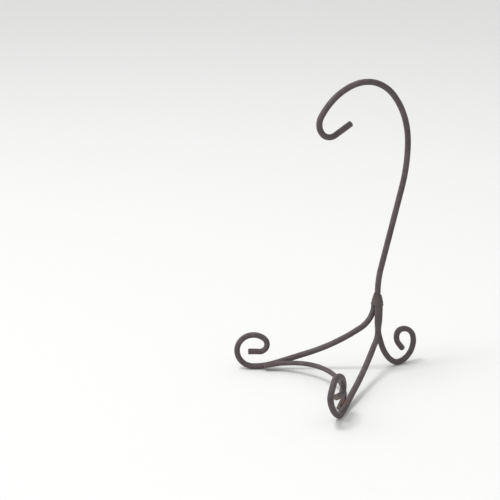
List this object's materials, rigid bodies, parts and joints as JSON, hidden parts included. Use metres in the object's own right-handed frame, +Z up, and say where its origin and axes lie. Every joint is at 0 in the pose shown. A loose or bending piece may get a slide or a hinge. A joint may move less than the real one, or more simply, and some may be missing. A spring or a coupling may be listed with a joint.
{
  "type": "album stand",
  "caption": "Scrolled round-rod display stand: an S-curved stem with a forward hook on legs that end in scroll feet, tied by a wrapped collar and a bowed front brace.",
  "frame": {"origin": "on the floor, on the axis of the collar and of the stem's root", "axes": "+Z up, -Y is where the hook reaches and the brace lies, +X to the right as seen from the front"},
  "size_m": [0.167, 0.1712, 0.2776],
  "materials": {
    "painted_rod": "satin",
    "painted_strip": "satin",
    "painted_weld": "satin"
  },
  "bodies": {
    "root": {"hook_stem": "painted_rod", "left_front_leg": "painted_rod", "right_front_leg": "painted_rod", "rear_leg": "painted_rod", "front_brace": "painted_rod", "collar": "painted_strip", "stem_weld": "painted_weld", "left_leg_weld": "painted_weld", "right_leg_weld": "painted_weld", "left_brace_weld": "painted_weld", "right_brace_weld": "painted_weld"}
  },
  "joints": []
}
